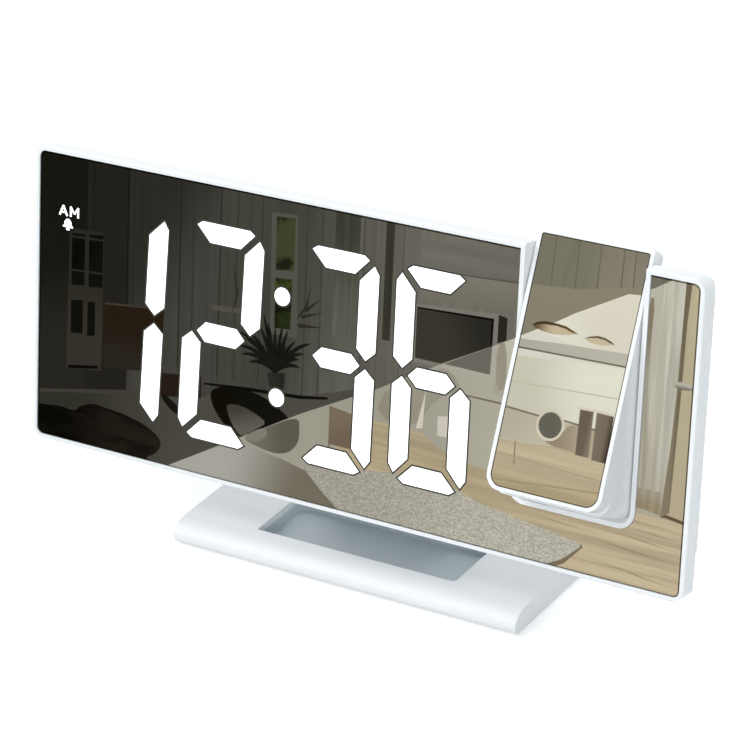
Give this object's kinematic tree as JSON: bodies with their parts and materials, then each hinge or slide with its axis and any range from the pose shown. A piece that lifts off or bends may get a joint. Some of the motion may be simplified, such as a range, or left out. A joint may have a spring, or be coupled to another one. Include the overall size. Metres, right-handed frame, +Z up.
{
  "type": "projection alarm clock",
  "caption": "Mirror-faced digital alarm clock on a flat stand, with a tilting projector head set in a notch of the panel.",
  "frame": {"origin": "on the table under the middle of the stand's base", "axes": "+X to the right seen from the front, towards the projector; +Y from the mirror side to the back; +Z up"},
  "size_m": [0.1886, 0.0484, 0.0964],
  "materials": {
    "white_shell": "glossy moulded white",
    "white_keys": "glossy moulded white",
    "base_underside": "matt moulded white",
    "mirror": "half-silvered smoked mirror",
    "black_tape": "matt black",
    "black_plastic": "matt black moulding",
    "light_blocks": "milky white diffuser, lit from behind",
    "circuit_board": "green solder mask",
    "leds": "clear resin",
    "projector_led": "red tinted resin",
    "steel": "plated steel",
    "switches": "moulded switch bodies",
    "cell": "plated can",
    "contacts": "spring brass",
    "feet_rubber": "matt grey rubber",
    "washers": "dark nylon",
    "lead_cover": "red insulation",
    "clear_lens": "clear moulded lens",
    "slide_film": "dark film slide"
  },
  "bodies": {
    "clock": {"base_shell": "white_shell", "base_cover": "base_underside", "base_feet": "feet_rubber", "base_screws": "steel", "stand_neck": "white_shell", "neck_screws": "steel", "front_frame": "white_shell", "rear_housing": "white_shell", "mirror_panel": "mirror", "panel_tape": "black_tape", "segment_mask": "black_plastic", "hour_tens_segments": "light_blocks", "hour_units_segments": "light_blocks", "minute_tens_segments": "light_blocks", "minute_units_segments": "light_blocks", "colon_dots": "light_blocks", "indicator_marks": "light_blocks", "led_board": "circuit_board", "segment_leds": "leds", "led_board_screws": "steel", "main_board": "circuit_board", "board_links": "black_plastic", "control_chips": "black_plastic", "tact_switches": "switches", "snooze_switch": "switches", "buzzer": "black_plastic", "usb_inlet": "steel", "board_screws": "steel", "coin_cell": "cell", "cell_contacts": "contacts", "housing_screws": "steel", "hinge_pin_hollow": "steel", "hinge_pin_solid": "steel", "hinge_washers": "washers", "projector_lead": "lead_cover"},
    "projector": {"head_front": "white_shell", "head_mirror": "mirror", "head_housing": "white_shell", "head_screws": "steel", "light_tube": "black_plastic", "condenser_lens": "clear_lens", "lcd_slide": "slide_film", "head_led_board": "circuit_board", "head_led": "projector_led", "head_lead": "lead_cover"},
    "focus_ring": {"focus_ring": "black_plastic"},
    "lens": {"lens_cell": "black_plastic", "projection_lens": "clear_lens"},
    "battery_door": {"battery_door": "white_shell"},
    "snooze_bar": {"snooze_button": "white_keys"},
    "mode_key": {"mode_button": "white_keys"},
    "set_key": {"set_button": "white_keys"},
    "up_key": {"up_button": "white_keys"},
    "down_key": {"down_button": "white_keys"},
    "projector_key": {"projector_button": "white_keys"}
  },
  "joints": [
    {"name": "projector_tilt", "type": "hinge", "parent": "clock", "child": "projector", "pos_m": [0.0635, 0.00337, 0.08073], "axis": [-1, 0, 0], "range_deg": [-18.1, 161.9]},
    {"name": "focus_turn", "type": "hinge", "parent": "projector", "child": "focus_ring", "pos_m": [0.0635, 0.00945, 0.0855], "axis": [0, 0.509, 0.8607], "range_deg": [-60, 60]},
    {"name": "lens_travel", "type": "slide", "parent": "projector", "child": "lens", "axis": [0, 0.509, 0.8607], "range_m": [-0.0008, 0.0008]},
    {"name": "battery_door_slide", "type": "slide", "parent": "clock", "child": "battery_door", "axis": [-1, 0, 0], "range_m": [0, 0.026]},
    {"name": "snooze_press", "type": "slide", "parent": "clock", "child": "snooze_bar", "axis": [0, -0.2164, -0.9763], "range_m": [0, 0.0008], "stiffness_N_per_m": 1200},
    {"name": "mode_press", "type": "slide", "parent": "clock", "child": "mode_key", "axis": [0, -0.9763, 0.2164], "range_m": [0, 0.0005], "stiffness_N_per_m": 1500},
    {"name": "set_press", "type": "slide", "parent": "clock", "child": "set_key", "axis": [0, -0.9763, 0.2164], "range_m": [0, 0.0005], "stiffness_N_per_m": 1500},
    {"name": "up_press", "type": "slide", "parent": "clock", "child": "up_key", "axis": [0, -0.9763, 0.2164], "range_m": [0, 0.0005], "stiffness_N_per_m": 1500},
    {"name": "down_press", "type": "slide", "parent": "clock", "child": "down_key", "axis": [0, -0.9763, 0.2164], "range_m": [0, 0.0005], "stiffness_N_per_m": 1500},
    {"name": "projector_press", "type": "slide", "parent": "clock", "child": "projector_key", "axis": [0, -0.9763, 0.2164], "range_m": [0, 0.0005], "stiffness_N_per_m": 1500}
  ],
  "couplings": [
    {"joint": "focus_turn", "follows": "lens_travel", "rad_per_m": 1308}
  ]
}
